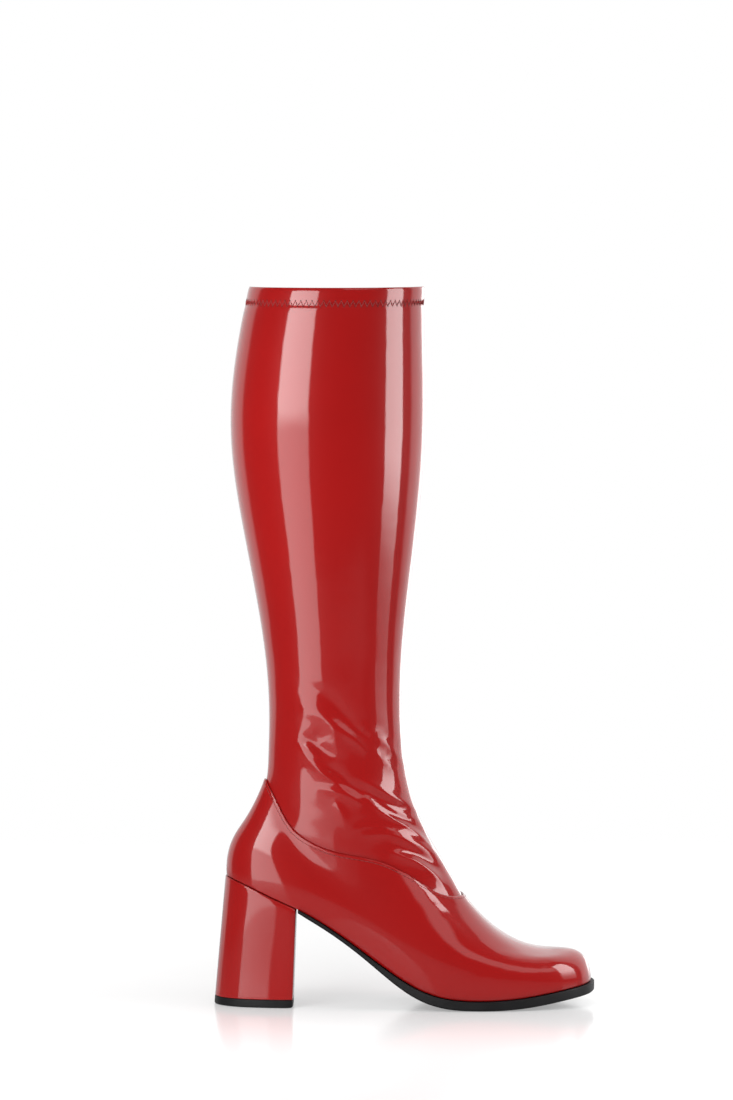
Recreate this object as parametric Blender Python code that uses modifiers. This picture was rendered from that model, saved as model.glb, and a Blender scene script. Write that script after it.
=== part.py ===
"""Knee-high boot for the right foot: lasted vamp and counter, pull-on stretch shaft and covered block heel.

Metres, +Z up, toe towards +X, the boot's outer side towards -Y.
The origin is on the floor under the middle of the heel. Lengths along the boot are measured from the back
edge of the heel's base, and every piece is then set back by half the base's length.
"""

import math

import bmesh
import bpy
import numpy as np

# Driving sizes of the last
HEEL_HEIGHT = 0.0776  # floor to the heel seat, at the back
LAST_LENGTH = 0.2205  # back of the heel seat to the toe, level
LAST_SETBACK = 0.0075  # heel base's back edge to the back of the seat
BALL_WIDTH = 0.0800  # across the joints, at the feather edge

# Driving sizes of the leg
BOOT_HEIGHT = 0.4322  # floor to the rim
CALF_DEPTH = 0.1185  # front to back
CALF_WIDTH = 0.1090  # side to side
LEG_AXIS = 0.0723  # heel base's back edge to the leg's middle line
INNER_RIM_DROP = 0.0021  # how much lower the rim is on the inner side

# Where the shaft is sewn to the vamp and counter
COUNTER_RISE = 0.0587  # heel seat up to the seam, at the back
VAMP_HEIGHT = 0.0662  # floor up to the seam, at the front
VAMP_LENGTH = 0.0772  # toe back to the seam, along the middle line

# Walls and clearances
UPPER_WALL = 0.0015
SKIVED_EDGE = 0.0009  # the upper's thinned top edge
SHAFT_WALL = 0.0011
HEM_WALL = 0.0022
HEM_DEPTH = 0.0100
HEM_NICK = 0.0007  # how far the hem's stitches pull the shaft in
SEAM_LAP = 0.0080
LASTING_MARGIN = 0.0120
GAP = 0.0003
SEAT_GAP = 0.0004  # over and under the turned margin

# Sole, insole and heel
SOLE_THICKNESS = 0.0062
WAIST_THICKNESS = 0.0026
SOLE_EDGE = 0.0020  # how far the outsole stands out past the upper
SOLE_ROUNDING = 0.0009
INSOLE_THICKNESS = 0.0020
INSOLE_CLEARANCE = 0.0007
TOP_PIECE_THICKNESS = 0.0050
TOP_PIECE_ROUNDING = 0.0006
HEEL_BASE_LENGTH = 0.0485
HEEL_BASE_WIDTH = 0.0520
HEEL_RIM = 0.0006  # how far the heel stands out past the upper, at the seat
HEEL_BREAST = 0.0507  # heel base's back edge to the breast, at the seat
HEEL_CORNER = 0.0030
HEEL_WAISTING = 0.0010  # how far the heel's sides draw in at half height

# Mesh density
SIDE_STEPS = 26  # along each side, from the back to the front
END_CROWDING = 0.40  # how much closer the steps are at the heel and the toe
RISE_STEPS = 12  # from the feather edge up to the lapped seam
RISE_CROWDING = 1.35  # how much closer those steps are at the feather edge
MARGIN_STEPS = 2
HEEL_SIDE_STEPS = 12
ACROSS_STEPS = 4
DENSE = 600  # points on a line before it is divided into steps
SLOPE_STEP = 0.0005  # half the length over which the bottom's slope is taken

# Feather edge seen from above: place, share of LAST_LENGTH, share of BALL_WIDTH, outer side negative
FEATHER = (
    ("heel back", 0.000, 0.000),
    ("heel round, outer", 0.032, -0.205),
    ("heel side, outer", 0.125, -0.322),
    ("waist, outer", 0.370, -0.345),
    ("little toe joint", 0.625, -0.490),
    ("toe side, outer", 0.850, -0.428),
    ("toe corner, outer", 0.964, -0.250),
    ("toe", 1.000, 0.044),
    ("toe corner, inner", 0.968, 0.325),
    ("toe side, inner", 0.870, 0.470),
    ("big toe joint", 0.715, 0.512),
    ("waist, inner", 0.385, 0.285),
    ("heel side, inner", 0.125, 0.322),
    ("heel round, inner", 0.032, 0.205),
)
TOE_ROW = 7

# Bottom of the last from the side: share of LAST_LENGTH, share of HEEL_HEIGHT
BOTTOM_LINE = (
    (0.000, 1.005),
    (0.060, 0.946),
    (0.120, 0.866),
    (0.194, 0.775),
    (0.342, 0.510),
    (0.479, 0.229),
    (0.534, 0.141),
    (0.588, 0.094),
    (0.640, 0.077),
    (0.720, 0.0755),
    (0.830, 0.101),
    (0.940, 0.152),
    (1.000, 0.175),
)

# Where the outsole thickens from its waist to its forefoot, as shares of LAST_LENGTH: start, end
THICKENING = (0.34, 0.58)

# Seam line from the side: share of the way from its back to its front, share of its height
SEAM_LINE = (
    (0.00, 1.000),
    (0.07, 0.790),
    (0.12, 0.632),
    (0.20, 0.504),
    (0.38, 0.388),
    (0.51, 0.355),
    (0.63, 0.292),
    (0.77, 0.150),
    (0.90, 0.022),
    (1.00, 0.000),
)

# Ribs from the feather edge up to the seam. Each is a curve pulled by two points, given as shares of the
# way in and the way up, and by a belly that stands out past the feather edge, as a share of BALL_WIDTH.
# It touches the line between the two points at the last share, and a smaller one gives a squarer corner.
# around, first in, first up, second in, second up, belly, touch
RIBS = (
    (0.00, -0.055, 0.285, 0.730, 0.700, 0.000, 0.50),
    (0.12, 0.040, 0.300, 0.680, 0.710, 0.032, 0.50),
    (0.28, 0.160, 0.330, 0.640, 0.700, 0.062, 0.50),
    (0.45, 0.120, 0.300, 0.600, 0.640, 0.066, 0.50),
    (0.60, 0.040, 0.270, 0.540, 0.590, 0.052, 0.50),
    (0.74, 0.000, 0.280, 0.500, 0.520, 0.036, 0.50),
    (0.86, 0.000, 0.320, 0.555, 0.395, 0.016, 0.46),
    (0.94, 0.000, 0.366, 0.630, 0.315, 0.006, 0.38),
    (1.00, 0.010, 0.400, 0.660, 0.290, 0.003, 0.32),
)

# Rings of the leg, from the seam up to the rim: heights of the back and front as shares of the way up from
# the seam, distances from the leg's axis as shares of CALF_DEPTH, half width as a share of CALF_WIDTH, and
# how far the ring keeps the seam's line.
# back up, front up, back out, front out, half width, follow
LEG_RINGS = (
    (0.000, 0.000, 0.351, 0.662, 0.286, 1.00),
    (0.031, 0.053, 0.338, 0.565, 0.287, 0.70),
    (0.069, 0.113, 0.330, 0.455, 0.289, 0.40),
    (0.119, 0.184, 0.327, 0.378, 0.293, 0.16),
    (0.197, 0.275, 0.333, 0.344, 0.310, 0.03),
    (0.315, 0.403, 0.368, 0.353, 0.352, 0.00),
    (0.474, 0.551, 0.442, 0.406, 0.425, 0.00),
    (0.643, 0.698, 0.513, 0.455, 0.488, 0.00),
    (0.789, 0.826, 0.517, 0.467, 0.500, 0.00),
    (0.914, 0.930, 0.472, 0.460, 0.478, 0.00),
    (1.000, 1.000, 0.427, 0.462, 0.455, 0.00),
)
ROWS_PER_RING = 2
SEAM_BLUNTNESS = 0.5  # how much squarer the seam's front is than an ellipse
TUCK_FADE = 2.0  # rings over which the shaft comes out from behind the upper's edge
RIM_FADE = 2.0  # rings under the rim over which its inner side drops

# The hem's rows: share of HEM_DEPTH below the rim, share of HEM_NICK, share of the way from SHAFT_WALL to
# HEM_WALL
HEM_ROWS = (
    (1.25, 0.00, 0.00),
    (1.00, 1.00, 0.00),
    (0.86, 0.30, 1.00),
    (0.60, 0.00, 1.00),
    (0.10, 0.00, 1.00),
    (0.00, 0.70, 0.00),
)

# The outsole's edge, from the tread up: share of SOLE_EDGE, share of SOLE_ROUNDING, share of the thickness
SOLE_STEPS = (
    (0.45, 0.00, 1.0),
    (1.00, 1.00, 1.0),
    (1.00, 0.00, 0.0),
)

# Colours, linear, with roughness
RED_PATENT = (0.41, 0.012, 0.012, 1.0)
RED_STRETCH = (0.38, 0.012, 0.012, 1.0)
BLACK_RUBBER = (0.012, 0.012, 0.013, 1.0)
INSOLE_TAN = (0.42, 0.30, 0.20, 1.0)


def spline_through(t, y, flat_ends=False):
    """A curve through the points whose slope and bend run on smoothly."""
    t = np.asarray(t, float)
    y = np.asarray(y, float)
    n = len(t)
    h = np.diff(t)
    slope = np.diff(y) / h
    a = np.zeros((n, n))
    b = np.zeros(n)
    for i in range(1, n - 1):
        a[i, i - 1 : i + 2] = h[i - 1], 2 * (h[i - 1] + h[i]), h[i]
        b[i] = 6 * (slope[i] - slope[i - 1])
    if flat_ends:
        a[0, :2] = 2 * h[0], h[0]
        b[0] = 6 * slope[0]
        a[-1, -2:] = h[-1], 2 * h[-1]
        b[-1] = -6 * slope[-1]
    else:
        a[0, 0] = a[-1, -1] = 1
    m = np.linalg.solve(a, b)

    def at(x):
        x = np.clip(np.asarray(x, float), t[0], t[-1])
        i = np.clip(np.searchsorted(t, x) - 1, 0, n - 2)
        left, right = t[i + 1] - x, x - t[i]
        bend = (m[i] * left**3 + m[i + 1] * right**3) / (6 * h[i])
        low = (y[i] / h[i] - m[i] * h[i] / 6) * left
        high = (y[i + 1] / h[i] - m[i + 1] * h[i] / 6) * right
        return bend + low + high

    return at


def column(rows, number, flat_ends=False):
    """The curve of one column of a table against its first column."""
    return spline_through([row[0] for row in rows], [row[number] for row in rows], flat_ends)


def smooth_step(x, low, high):
    t = np.clip((x - low) / (high - low), 0, 1)
    return t * t * (3 - 2 * t)


def divided(line, shares):
    """The points at these shares of a dense line's length."""
    steps = np.linalg.norm(np.diff(line, axis=0), axis=1)
    along = np.concatenate([[0], np.cumsum(steps)])
    at = np.asarray(shares) * along[-1]
    return np.column_stack([np.interp(at, along, line[:, k]) for k in range(line.shape[1])])


def side_shares():
    """Shares of the way from the back to the front, closer together at both ends."""
    t = np.linspace(0, 1, SIDE_STEPS + 1)
    return t - END_CROWDING * np.sin(2 * math.pi * t) / (2 * math.pi)


def ring_of(outer, inner):
    """One closed ring: the outer side from back to front, then the inner side back again."""
    return np.concatenate([outer, inner[-2:0:-1]])


def sides_of(ring):
    """The outer and inner sides of a closed ring, both from back to front."""
    return ring[: SIDE_STEPS + 1], np.concatenate([ring[:1], ring[:SIDE_STEPS - 1:-1]])


def outward(ring):
    """Level directions that point out of a closed ring."""
    along = np.roll(ring, -1, axis=0) - np.roll(ring, 1, axis=0)
    normal = np.column_stack([along[:, 1], -along[:, 0], np.zeros(len(ring))])
    return normal / np.linalg.norm(normal, axis=1, keepdims=True)


def bottom_height(x):
    """Height of the last's bottom over the floor, x ahead of the heel base's back edge."""
    return HEEL_HEIGHT * column(BOTTOM_LINE, 1)((x - LAST_SETBACK) / LAST_LENGTH)


def on_bottom(plan, lift):
    """Points of a plan laid on the last's bottom, then lifted square to it."""
    x, y = plan[..., 0], plan[..., 1]
    slope = (bottom_height(x + SLOPE_STEP) - bottom_height(x - SLOPE_STEP)) / (2 * SLOPE_STEP)
    length = np.sqrt(1 + slope**2)
    return np.stack([x - slope / length * lift, y, bottom_height(x) + lift / length], axis=-1)


def feather_sides():
    """The two sides of the line where the upper turns under the last, as dense lines from back to toe."""
    points = [(along * LAST_LENGTH + LAST_SETBACK, across * BALL_WIDTH) for _, along, across in FEATHER]
    lap = 3
    wrapped = np.array(points[-lap:] + points + points[: lap + 1])
    chords = np.linalg.norm(np.diff(wrapped, axis=0), axis=1)
    t = np.concatenate([[0], np.cumsum(chords)])
    curve_x = spline_through(t, wrapped[:, 0])
    curve_y = spline_through(t, wrapped[:, 1])
    sides = []
    for start in (t[lap], t[lap + len(points)]):
        s = np.linspace(start, t[lap + TOE_ROW], DENSE)
        sides.append(np.column_stack([curve_x(s), curve_y(s)]))
    return sides


def feather_ring():
    sides = [on_bottom(side, 0) for side in feather_sides()]
    return ring_of(*[divided(side, side_shares()) for side in sides])


def stepped(ring, out, lift):
    """The feather ring moved out in plan, then lifted square to the last's bottom."""
    return on_bottom(ring + outward(ring) * out, lift)


def leg_ring(level):
    """One ring round the leg: level 0 is the seam and each whole number is a row of LEG_RINGS."""
    rows = [(i, *row) for i, row in enumerate(LEG_RINGS)]
    values = [float(column(rows, number)(level)) for number in range(1, 7)]
    back_up, front_up, back_out, front_out, half_width, follow = values
    seam_back = HEEL_HEIGHT + COUNTER_RISE
    back_z = seam_back + (BOOT_HEIGHT - seam_back) * back_up
    front_z = VAMP_HEIGHT + (BOOT_HEIGHT - VAMP_HEIGHT) * front_up
    back_x = LEG_AXIS - CALF_DEPTH * back_out
    vamp_point = LAST_SETBACK + LAST_LENGTH - VAMP_LENGTH
    front_x = LEG_AXIS + CALF_DEPTH * front_out
    front_x += (vamp_point - LEG_AXIS - CALF_DEPTH * LEG_RINGS[0][3]) * follow
    along = (1 - np.cos(np.linspace(0, math.pi, DENSE))) / 2
    power = 2 + SEAM_BLUNTNESS * follow * smooth_step(along, 0.5, 1.0)
    across = CALF_WIDTH * half_width * (1 - np.abs(2 * along - 1) ** power) ** (1 / power)
    drop = follow * column(SEAM_LINE, 1)(along) + (1 - follow) * (1 - along)
    line = np.column_stack([back_x + (front_x - back_x) * along, -across, front_z + (back_z - front_z) * drop])
    outer = divided(line, side_shares())
    inner = outer * [1, -1, 1]
    top = len(LEG_RINGS) - 1
    drop = INNER_RIM_DROP * smooth_step(level, top - RIM_FADE, top)
    inner[:, 2] -= drop * inner[:, 1] / (CALF_WIDTH * half_width)
    return ring_of(outer, inner)


def level_at(height):
    levels = np.linspace(0, len(LEG_RINGS) - 1, 200)
    return np.interp(height, [leg_ring(level)[0][2] for level in levels], levels)


def ribs(feather, seam):
    """Rows of points from the feather edge up to the seam; the last two steps are the lapped seam."""
    shares = side_shares()
    around = np.concatenate([shares, shares[-2:0:-1]])
    curves = [column(RIBS, number, True)(around)[:, None] for number in range(1, 7)]
    first_in, first_up, second_in, second_up, belly, touch = curves
    level = (seam - feather) * [1, 1, 0]
    rise = (seam - feather) * [0, 0, 1]
    first = feather + level * first_in + rise * first_up + outward(feather) * belly * BALL_WIDTH
    second = feather + level * second_in + rise * second_up
    middle = first * (1 - touch) + second * touch
    t = np.linspace(0, 1, DENSE // 10)[:, None]
    places = []
    for i in range(len(feather)):
        lower = feather[i] * (1 - t) ** 2 + first[i] * 2 * t * (1 - t) + middle[i] * t**2
        upper = middle[i] * (1 - t) ** 2 + second[i] * 2 * t * (1 - t) + seam[i] * t**2
        line = np.concatenate([lower, upper[1:]])
        length = np.linalg.norm(np.diff(line, axis=0), axis=1).sum()
        lap = SEAM_LAP / length
        rise_steps = np.linspace(0, 1, RISE_STEPS + 1) ** RISE_CROWDING * (1 - lap)
        steps = np.concatenate([rise_steps, [1 - lap / 2, 1]])
        places.append(divided(line, steps))
    return list(np.swapaxes(np.array(places), 0, 1))


def surface_normals(rows):
    """Outward directions square to a stack of rings."""
    grid = np.array(rows)
    around = np.roll(grid, -1, axis=1) - np.roll(grid, 1, axis=1)
    up = np.gradient(grid, axis=0)
    normal = np.cross(around, up)
    return normal / np.linalg.norm(normal, axis=2, keepdims=True)


def finish(name, colour, roughness):
    made = bpy.data.materials.new(name)
    made.use_nodes = True
    shader = made.node_tree.nodes["Principled BSDF"]
    shader.inputs["Base Color"].default_value = colour
    shader.inputs["Roughness"].default_value = roughness
    shader.inputs["Metallic"].default_value = 0.0
    return made


def new_part(name, vertices, faces, surface, home, closed=True):
    """A mesh object from points and faces, with doubled points welded."""
    mesh = bpy.data.meshes.new(name)
    mesh.from_pydata([tuple(map(float, v)) for v in vertices], [], faces)
    work = bmesh.new()
    work.from_mesh(mesh)
    if closed:
        bmesh.ops.remove_doubles(work, verts=work.verts, dist=1e-6)
        bmesh.ops.recalc_face_normals(work, faces=work.faces)
    work.to_mesh(mesh)
    work.free()
    mesh.materials.append(surface)
    made = bpy.data.objects.new(name, mesh)
    made.location.x = -HEEL_BASE_LENGTH / 2
    home.objects.link(made)
    return made


def tube(name, rows, walls, surface, home):
    """A hollow tube from stacked rings, its wall laid inwards, each ring with its own thickness."""
    n = len(rows[0])
    faces = []
    for row in range(len(rows) - 1):
        for i in range(n):
            j = (i + 1) % n
            low, high = row * n, (row + 1) * n
            faces.append((low + i, low + j, high + j, high + i))
    made = new_part(name, np.concatenate(rows), faces, surface, home, closed=False)
    group = made.vertex_groups.new(name="wall")
    for row, wall in enumerate(walls):
        group.add(list(range(row * n, (row + 1) * n)), wall / max(walls), "REPLACE")
    solidify = made.modifiers.new("wall", "SOLIDIFY")
    solidify.thickness = max(walls)
    solidify.offset = -1.0
    solidify.use_even_offset = True
    solidify.use_quality_normals = True
    solidify.vertex_group = group.name
    solidify.thickness_vertex_group = 0.0
    return made


def across(sides):
    """Rows of points from the outer side of an outline to its inner side, for each place along it."""
    outer, inner = sides
    steps = np.linspace(0, 1, ACROSS_STEPS + 1)[None, :, None]
    return outer[:, None, :] * (1 - steps) + inner[:, None, :] * steps


def block(name, levels, surface, home):
    """A solid from stacked levels, bottom first. Each is a sheet of rows of points, from back to front."""
    k, width = levels[0].shape[:2]
    vertices = [point for level in levels for row in level for point in row]
    edge = [i * width for i in range(k)]
    edge += [(k - 1) * width + j for j in range(1, width)]
    edge += [i * width + width - 1 for i in range(k - 2, -1, -1)]
    edge += list(range(width - 2, 0, -1))
    faces = []
    for level in range(len(levels) - 1):
        low, high = level * k * width, (level + 1) * k * width
        for a, b in zip(edge, edge[1:] + edge[:1]):
            faces.append((low + a, low + b, high + b, high + a))
    for level in (0, len(levels) - 1):
        base = level * k * width
        for i in range(k - 1):
            for j in range(ACROSS_STEPS):
                a = base + i * width + j
                faces.append((a, a + 1, a + width + 1, a + width))
    used = sorted({v for face in faces for v in face})
    number = {v: i for i, v in enumerate(used)}
    faces = [tuple(number[v] for v in face) for face in faces]
    return new_part(name, [vertices[v] for v in used], faces, surface, home)


def make_upper(foot, margins, surface, home):
    """Vamp and counter in one, turned under at the bottom and open at the seam."""
    rows = margins + foot
    walls = [UPPER_WALL] * (len(rows) - 1) + [SKIVED_EDGE]
    return tube("upper", rows, walls, surface, home)


def make_shaft(foot, surface, home):
    """The stretch shaft: tucked behind the upper's top edge, with a hem folded in at the rim."""
    top = len(LEG_RINGS) - 1
    levels = list(np.arange(0, top - 0.5, 1 / ROWS_PER_RING))
    nicks = [0.0] * (len(levels) + 2)
    walls = [SHAFT_WALL] * (len(levels) + 2)
    for below, nick, fold in HEM_ROWS:
        levels.append(float(level_at(BOOT_HEIGHT - below * HEM_DEPTH)))
        nicks.append(nick * HEM_NICK)
        walls.append(SHAFT_WALL + fold * (HEM_WALL - SHAFT_WALL))
    rows = foot[-3:] + [leg_ring(level) for level in levels[1:]]
    normals = surface_normals(foot[:-1] + [leg_ring(level) for level in levels])[-len(rows) :]
    tucks = [UPPER_WALL + GAP] * 2 + [SKIVED_EDGE + GAP]
    for level in levels[1:]:
        tucks.append((SKIVED_EDGE + GAP) * (1 - smooth_step(level, 0, TUCK_FADE)))
    shaft_rows = [row - normal * (tuck + nick) for row, normal, tuck, nick in zip(rows, normals, tucks, nicks)]
    return tube("shaft", shaft_rows, walls, surface, home)


def make_insole(feather, surface, home):
    """The insole board, inside the upper and over its turned margin."""
    inset = UPPER_WALL + INSOLE_CLEARANCE
    plan = across(sides_of(feather - outward(feather) * inset))
    seat = UPPER_WALL + SEAT_GAP
    return block("insole", [on_bottom(plan, seat), on_bottom(plan, seat + INSOLE_THICKNESS)], surface, home)


def behind(out, last_x, steps):
    """Both sides of the feather line moved out, from the back to a place along the boot, as plans."""
    outer, inner = feather_sides()
    ring = ring_of(outer, inner)
    moved = ring + outward(ring)[:, :2] * out
    sides = [moved[:DENSE], np.concatenate([moved[:1], moved[: DENSE - 2 : -1]])]
    kept = []
    for side in sides:
        reach = np.maximum.accumulate(side[:, 0])
        part = side[: int(np.searchsorted(reach, last_x))].copy()
        part[-1, 0] = last_x
        kept.append(divided(part, steps))
    return kept


def ahead_of_breast(feather, out):
    """The two sides of the feather line moved out, from the heel's breast to the toe."""
    back = HEEL_BREAST + GAP
    moved = sides_of(feather + outward(feather) * out)
    start = max(int(np.searchsorted(side[:, 0], back + SOLE_EDGE)) for side in moved)
    kept = []
    for side in moved:
        at = np.interp(back, side[: start + 1, 0], side[: start + 1, 1])
        kept.append(np.concatenate([[[back, at]], side[start:, :2]]))
    return kept


def make_outsole(feather, surface, home):
    """The outsole, from the heel breast to the toe: thin at the waist, flat on the floor at the ball."""
    levels = []
    for out, rounding, depth in SOLE_STEPS:
        plan = across(ahead_of_breast(feather, SOLE_EDGE * out))
        along = (plan[..., 0] - LAST_SETBACK) / LAST_LENGTH
        full = smooth_step(along, *THICKENING)
        thick = WAIST_THICKNESS + (SOLE_THICKNESS - WAIST_THICKNESS) * full
        level = on_bottom(plan, -SEAT_GAP - depth * (thick - SEAT_GAP) + rounding * SOLE_ROUNDING)
        level[0, :, 0] = HEEL_BREAST + GAP
        level[..., 2] = np.maximum(level[..., 2], rounding * SOLE_ROUNDING)
        levels.append(level)
    return block("outsole", levels, surface, home)


def heel_plan(out, front, corner):
    """The heel's outline at the seat, cut off at its breast with rounded corners."""
    steps = np.linspace(0, 1, HEEL_SIDE_STEPS + 1)
    sides = behind(out, front - corner, steps**0.85)
    ends = []
    for side, towards in zip(sides, (1, -1)):
        last = side[-1]
        tip = np.array([[front, last[1] + towards * corner]])
        middle = np.array([[front - 0.3 * corner, last[1] + towards * 0.3 * corner]])
        ends.append(np.concatenate([side, middle, tip]))
    return ends


def heel_level(share, out=0.0):
    """The heel's outline at a share of the way from the floor up to the seat."""
    seat = on_bottom(across(heel_plan(HEEL_RIM, HEEL_BREAST, HEEL_CORNER)), -SEAT_GAP)
    back = seat[0, 0, 0]
    half = (seat[..., 1].max() - seat[..., 1].min()) / 2
    base = seat.copy()
    base[..., 0] = (seat[..., 0] - back) * (HEEL_BASE_LENGTH + 2 * out) / (HEEL_BREAST - back) - out
    draw = 4 * share * (1 - share) * HEEL_WAISTING
    base[..., 1] *= (HEEL_BASE_WIDTH / 2 + out - draw) / half
    base[..., 2] = 0
    return base * (1 - share) + seat * share


def at_height(low, high, height):
    """A level cut at a height, on the lines between two levels."""
    share = (height - low[..., 2:]) / (high[..., 2:] - low[..., 2:])
    return low * (1 - share) + high * share


def make_heel(patent, rubber, home):
    """The block heel, and the top piece that it stands on."""
    floor, seat = heel_level(0), heel_level(1)
    levels = [at_height(floor, seat, TOP_PIECE_THICKNESS)]
    levels += [heel_level(share) for share in (0.25, 0.5, 0.75)]
    levels.append(seat)
    block("heel", levels, patent, home)
    inset = heel_level(0, -TOP_PIECE_ROUNDING)
    edges = [at_height(floor, seat, height) for height in (TOP_PIECE_ROUNDING, TOP_PIECE_THICKNESS - GAP)]
    block("top_piece", [inset, *edges], rubber, home)


def main():
    for old in list(bpy.data.objects):
        bpy.data.objects.remove(old, do_unlink=True)
    home = bpy.data.collections.new("go_go_boot")
    bpy.context.scene.collection.children.link(home)
    patent = finish("red patent", RED_PATENT, 0.12)
    stretch = finish("red stretch patent", RED_STRETCH, 0.15)
    rubber = finish("black rubber", BLACK_RUBBER, 0.45)
    board = finish("insole", INSOLE_TAN, 0.6)

    feather = feather_ring()
    seam = leg_ring(0)
    foot = ribs(feather, seam)
    margins = [
        stepped(feather, -LASTING_MARGIN * k / MARGIN_STEPS, 0) for k in range(MARGIN_STEPS, 0, -1)
    ]
    make_upper(foot, margins, patent, home)
    make_shaft(foot, stretch, home)
    make_insole(feather, board, home)
    make_outsole(feather, rubber, home)
    make_heel(patent, rubber, home)


main()
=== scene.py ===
"""The looks of a knee-high go-go boot: patent leg with its ankle folds, lining, stitches, heel and sole."""

import math

import bmesh
import bpy
import numpy as np
from mathutils import Matrix, Vector
from mathutils.bvhtree import BVHTree


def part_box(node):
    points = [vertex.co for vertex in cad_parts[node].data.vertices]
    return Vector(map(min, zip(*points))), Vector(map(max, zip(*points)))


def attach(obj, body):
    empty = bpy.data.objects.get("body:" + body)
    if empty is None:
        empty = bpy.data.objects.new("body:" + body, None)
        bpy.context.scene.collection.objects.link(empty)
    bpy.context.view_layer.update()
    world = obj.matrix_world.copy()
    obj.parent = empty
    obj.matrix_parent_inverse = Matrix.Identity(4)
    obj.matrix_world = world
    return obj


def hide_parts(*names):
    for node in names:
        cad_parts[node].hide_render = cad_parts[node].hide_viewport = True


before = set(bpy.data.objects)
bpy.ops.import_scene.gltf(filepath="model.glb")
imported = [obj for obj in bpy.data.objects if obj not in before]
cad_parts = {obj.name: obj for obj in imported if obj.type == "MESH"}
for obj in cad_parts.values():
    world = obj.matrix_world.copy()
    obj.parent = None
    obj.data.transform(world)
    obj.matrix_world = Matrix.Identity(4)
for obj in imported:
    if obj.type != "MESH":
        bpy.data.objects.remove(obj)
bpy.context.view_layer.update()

bl_info = {
    "name": "Go-go boot dresser",
    "version": (1, 0, 0),
    "blender": (4, 5, 0),
    "location": "View3D > Sidebar > Boot",
    "description": "Dresses the packed boot in stretch patent, with folds, stitches, lining, heel and sole",
    "category": "Object",
}

# The folds of the stretch leg over the ankle, placed on the outer side as it is seen square on.
# Height is how far a fold stands out of the leg, less than nothing for a hollow. Crest goes from 0.2 for a
# sharp fold to 1.2 for a soft one. Trough is the depth of the hollow beside the fold as a share of its
# height, on the side of the toe and the knee, or on the side of the heel where it is less than nothing.
# Places are metres towards the toe and metres up.
# name, height, half width at the start, half width at the end, crest, trough, places
ANKLE_FOLDS = (
    ("shin fold", 0.00150, 0.0065, 0.0020, 0.6, 0.6,
     ((0.0272, 0.1789), (0.0349, 0.1797), (0.0417, 0.1772), (0.0481, 0.1721), (0.0545, 0.1669),
      (0.0614, 0.1618), (0.0673, 0.1554))),
    ("shin trough", -0.00080, 0.0045, 0.0025, 1.2, 0,
     ((0.0434, 0.1887), (0.0477, 0.1827), (0.0537, 0.1755), (0.0605, 0.1682), (0.0648, 0.1631))),
    ("side V, back arm", 0.00120, 0.0025, 0.0032, 0.8, 0.7,
     ((0.0272, 0.1597), (0.0340, 0.1554), (0.0409, 0.1503), (0.0477, 0.1460))),
    ("side V, front arm", 0.00100, 0.0032, 0.0032, 1.0, 0,
     ((0.0477, 0.1708), (0.0498, 0.1639), (0.0511, 0.1571), (0.0520, 0.1494))),
    ("side pit", -0.00090, 0.0026, 0.0026, 1.0, 0,
     ((0.0357, 0.1665), (0.0391, 0.1639), (0.0417, 0.1605))),
    ("side crease", 0.00120, 0.0035, 0.0022, 0.35, 0.8,
     ((0.0280, 0.1571), (0.0349, 0.1490), (0.0417, 0.1422), (0.0494, 0.1364), (0.0562, 0.1311),
      (0.0631, 0.1255))),
    ("side crease, upper", 0.00035, 0.0012, 0.0012, 0.3, 0,
     ((0.0357, 0.1503), (0.0443, 0.1434), (0.0545, 0.1366))),
    ("ankle tip", 0.00110, 0.0026, 0.0026, 0.5, 0.5,
     ((0.0409, 0.1328), (0.0494, 0.1311), (0.0571, 0.1281), (0.0631, 0.1242))),
    ("ankle drop", 0.00090, 0.0026, 0.0026, 0.8, 0,
     ((0.0494, 0.1247), (0.0528, 0.1187), (0.0554, 0.1127), (0.0571, 0.1084))),
    ("front crease, upper", 0.00040, 0.0024, 0.0014, 0.4, 0.5,
     ((0.0596, 0.1725), (0.0682, 0.1678), (0.0750, 0.1631), (0.0818, 0.1567), (0.0870, 0.1503),
      (0.0912, 0.1426))),
    ("front crease, lower", 0.00035, 0.0018, 0.0012, 0.25, 0.6,
     ((0.0643, 0.1644), (0.0712, 0.1567), (0.0780, 0.1498), (0.0831, 0.1439), (0.0878, 0.1375))),
    ("instep roll", 0.00120, 0.0028, 0.0020, 0.7, -0.8,
     ((0.0639, 0.1392), (0.0716, 0.1345), (0.0784, 0.1302), (0.0853, 0.1259), (0.0929, 0.1212),
      (0.0981, 0.1161))),
    ("instep crease", 0.00095, 0.0017, 0.0015, 0.25, 0.7,
     ((0.0678, 0.1272), (0.0750, 0.1200), (0.0836, 0.1140), (0.0921, 0.1089), (0.0994, 0.1033),
      (0.1058, 0.0960), (0.1109, 0.0879))),
    ("instep crease, upper", 0.00050, 0.0012, 0.0012, 0.3, 0,
     ((0.0742, 0.1255), (0.0827, 0.1208), (0.0921, 0.1161), (0.0998, 0.1093), (0.1049, 0.1025))),
    ("instep fan, lower", 0.00060, 0.0020, 0.0020, 0.6, 0.5,
     ((0.0665, 0.1050), (0.0784, 0.1054), (0.0870, 0.1033), (0.0955, 0.0995), (0.1041, 0.0943),
      (0.1092, 0.0896))),
    ("instep fan, upper", 0.00050, 0.0020, 0.0020, 0.6, 0.5,
     ((0.0614, 0.1084), (0.0699, 0.1101), (0.0827, 0.1076), (0.0938, 0.1033), (0.1023, 0.0973))),
    ("seam roll", 0.00150, 0.0024, 0.0024, 0.4, 0.9,
     ((0.0836, 0.0943), (0.0904, 0.0914), (0.0989, 0.0871), (0.1075, 0.0807), (0.1134, 0.0743))),
)
INNER_SIDE_SHIFT = (0.004, 0.005)  # metres that the inner side's folds lie lower and further back
INNER_SIDE_SHARE = 0.85  # height of the inner side's folds as a share of the outer side's
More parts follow.
